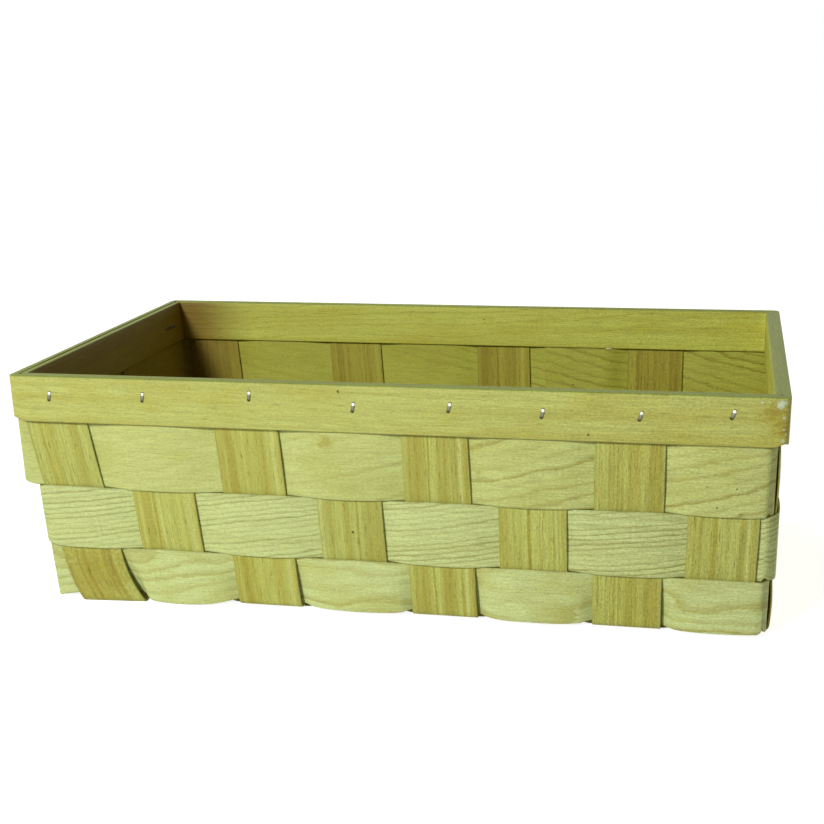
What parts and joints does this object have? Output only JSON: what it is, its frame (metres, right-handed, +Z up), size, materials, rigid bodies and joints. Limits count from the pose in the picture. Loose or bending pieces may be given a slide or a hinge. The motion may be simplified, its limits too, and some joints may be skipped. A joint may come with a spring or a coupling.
{
  "type": "splint basket",
  "caption": "Open rectangular basket woven from wide flat wood splints, with leaning walls, a woven base and a stapled rim of bent wooden bands.",
  "frame": {"origin": "on the ground, below the middle of the rim", "axes": "+X along the basket's long side to the right, +Y from the front to the back, +Z up"},
  "size_m": [0.4009, 0.241, 0.127],
  "materials": {
    "upright_wood": "raw split wood, satin, vertical grain",
    "weaver_wood": "raw split wood, pale, grain along the splint",
    "rim_wood": "planed wood, satin, warm",
    "staple_steel": "bright wire"
  },
  "bodies": {
    "root": {"outer_rim_band": "rim_wood", "inner_rim_band": "rim_wood", "top_weaver": "weaver_wood", "middle_weaver": "weaver_wood", "bottom_weaver": "weaver_wood", "cross_splint_1": "upright_wood", "cross_splint_2": "upright_wood", "cross_splint_3": "upright_wood", "cross_splint_4": "upright_wood", "cross_splint_5": "upright_wood", "cross_splint_6": "upright_wood", "cross_splint_7": "upright_wood", "cross_splint_8": "upright_wood", "long_splint_1": "upright_wood", "long_splint_2": "upright_wood", "long_splint_3": "upright_wood", "long_splint_4": "upright_wood", "front_staple_1": "staple_steel", "front_staple_2": "staple_steel", "front_staple_3": "staple_steel", "front_staple_4": "staple_steel", "front_staple_5": "staple_steel", "front_staple_6": "staple_steel", "front_staple_7": "staple_steel", "front_staple_8": "staple_steel", "right_staple_1": "staple_steel", "right_staple_2": "staple_steel", "right_staple_3": "staple_steel", "right_staple_4": "staple_steel", "back_staple_1": "staple_steel", "back_staple_2": "staple_steel", "back_staple_3": "staple_steel", "back_staple_4": "staple_steel", "back_staple_5": "staple_steel", "back_staple_6": "staple_steel", "back_staple_7": "staple_steel", "back_staple_8": "staple_steel", "left_staple_1": "staple_steel", "left_staple_2": "staple_steel", "left_staple_3": "staple_steel", "left_staple_4": "staple_steel"}
  },
  "joints": []
}
